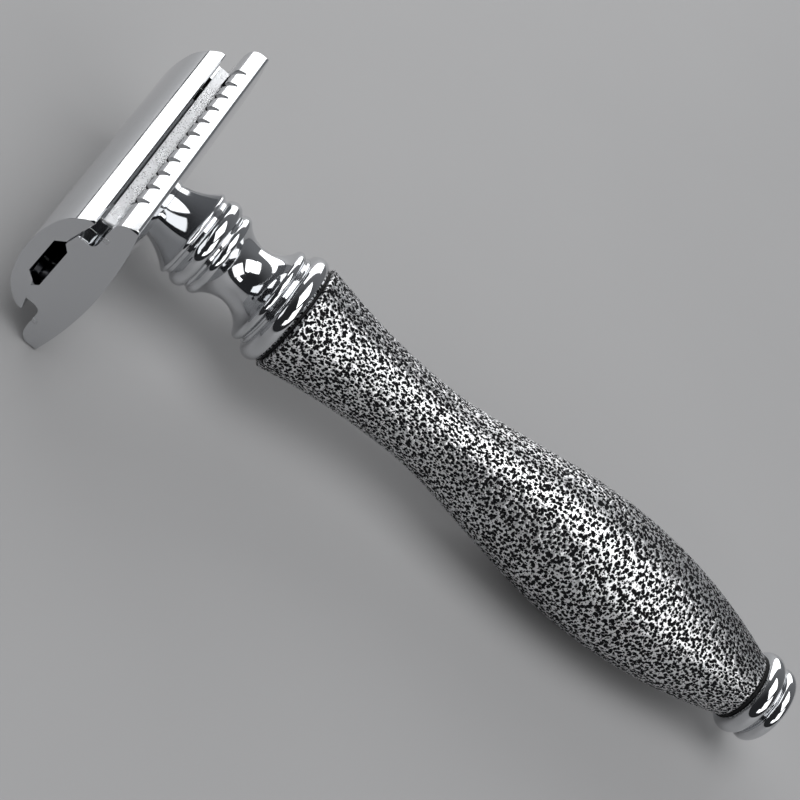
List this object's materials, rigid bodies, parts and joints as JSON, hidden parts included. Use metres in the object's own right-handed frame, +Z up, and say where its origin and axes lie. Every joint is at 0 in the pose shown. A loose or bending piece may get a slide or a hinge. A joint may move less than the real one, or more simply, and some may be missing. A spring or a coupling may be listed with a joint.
{
  "type": "double-edge safety razor",
  "caption": "Double-edge safety razor lying on its side: curved cap, scalloped base plate, turned chromed neck and a waisted, pitted antique-silver grip with a beaded end knob.",
  "frame": {"origin": "centre of the bounding box's footprint on the table, with the razor lying on its back safety bar and the belly of its grip", "axes": "+X from the head towards the end knob, +Y along the head, +Z up from the table; the handle's own axis drops 2.81 degrees from the head to the knob"},
  "size_m": [0.1222, 0.042, 0.028],
  "materials": {
    "chrome": "polished chrome plate",
    "antique_finish": "antique silver over a finely pitted casting, blackened in the pits",
    "machined_steel": "bright machined",
    "brass": "bright turned",
    "nylon": "natural nylon",
    "black_rubber": "matt black"
  },
  "bodies": {
    "head": {"base_plate": "chrome"},
    "handle": {"neck": "chrome", "thread_insert": "brass", "collar": "chrome", "collar_seal": "black_rubber", "grip_sleeve": "antique_finish", "liner_tube": "brass", "rod_bush": "nylon", "tie_rod": "machined_steel", "rear_bush": "brass", "spring_washer": "machined_steel", "rod_nut": "machined_steel", "knob_seal": "black_rubber", "end_knob": "chrome"},
    "cap": {"cap": "chrome", "cap_stud": "machined_steel", "cap_pin_near": "machined_steel", "cap_pin_far": "machined_steel"}
  },
  "joints": [
    {"name": "handle_turn", "type": "hinge", "parent": "head", "child": "handle", "pos_m": [-0.05218, 0, 0.01398], "axis": [0.9988, 0, -0.0491], "range_deg": [0, 3600]},
    {"name": "cap_lift", "type": "slide", "parent": "head", "child": "cap", "axis": [-0.9988, 0, 0.0491], "range_m": [0, 0.008]}
  ],
  "couplings": [
    {"joint": "handle_turn", "follows": "cap_lift", "rad_per_m": 7854}
  ]
}
